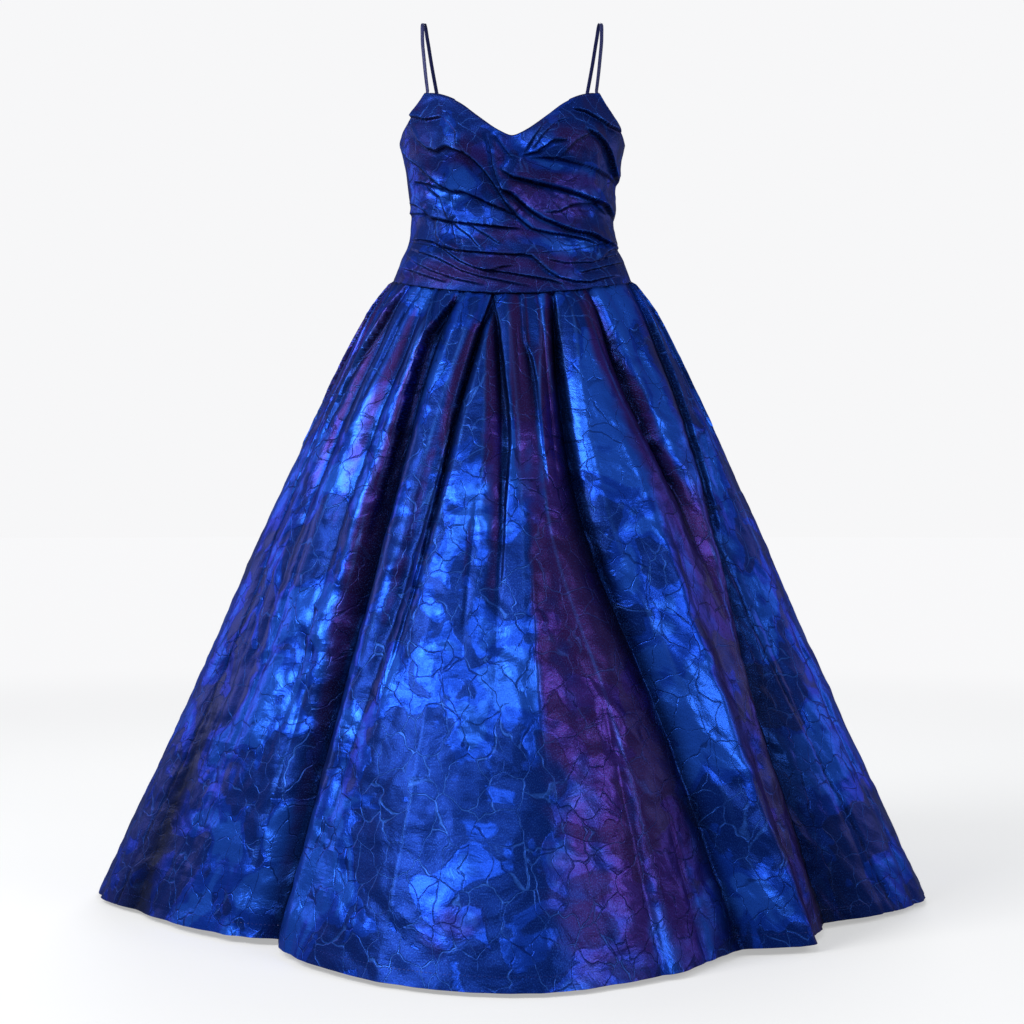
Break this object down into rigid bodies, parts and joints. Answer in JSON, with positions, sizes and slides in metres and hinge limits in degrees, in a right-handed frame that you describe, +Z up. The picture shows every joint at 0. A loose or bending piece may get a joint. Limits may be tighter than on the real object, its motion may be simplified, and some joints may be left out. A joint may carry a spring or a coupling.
{
  "type": "prom dress",
  "caption": "Full-length prom dress, filled out as when worn: draped sweetheart bodice and waistband, spaghetti straps, full pleated skirt to the floor, concealed back zip.",
  "frame": {"origin": "on the shoulder line, midway between the tops of the two straps, where the wearer's shoulders carry the dress", "axes": "+Z up, the front of the dress faces -Y, +X is the viewer's right when facing the front"},
  "size_m": [1.2269, 1.2202, 1.2963],
  "materials": {
    "skirt_cloth": "shot taffeta, blue turning violet, crackled jacquard weave with a metallic sheen",
    "bodice_cloth": "the same shot taffeta, draped in soft pleats",
    "strap_satin": "navy satin",
    "zip_cloth": "navy woven tape",
    "zip_metal": "navy enamel"
  },
  "bodies": {
    "dress": {"bodice_front": "bodice_cloth", "bodice_back_left": "bodice_cloth", "bodice_back_right": "bodice_cloth", "waistband_front": "bodice_cloth", "waistband_back_left": "bodice_cloth", "waistband_back_right": "bodice_cloth", "skirt_front": "skirt_cloth", "skirt_side_left": "skirt_cloth", "skirt_side_right": "skirt_cloth", "skirt_back_left": "skirt_cloth", "skirt_back_right": "skirt_cloth", "strap_left": "strap_satin", "strap_right": "strap_satin", "zip_tape": "zip_cloth", "zip_slider": "zip_metal"},
    "pull_tab": {"zip_tab": "zip_metal"}
  },
  "joints": [
    {"name": "tab_hinge", "type": "hinge", "parent": "dress", "child": "pull_tab", "pos_m": [0, 0.10165, -0.2155], "axis": [1, 0, 0], "range_deg": [0, 165]}
  ]
}
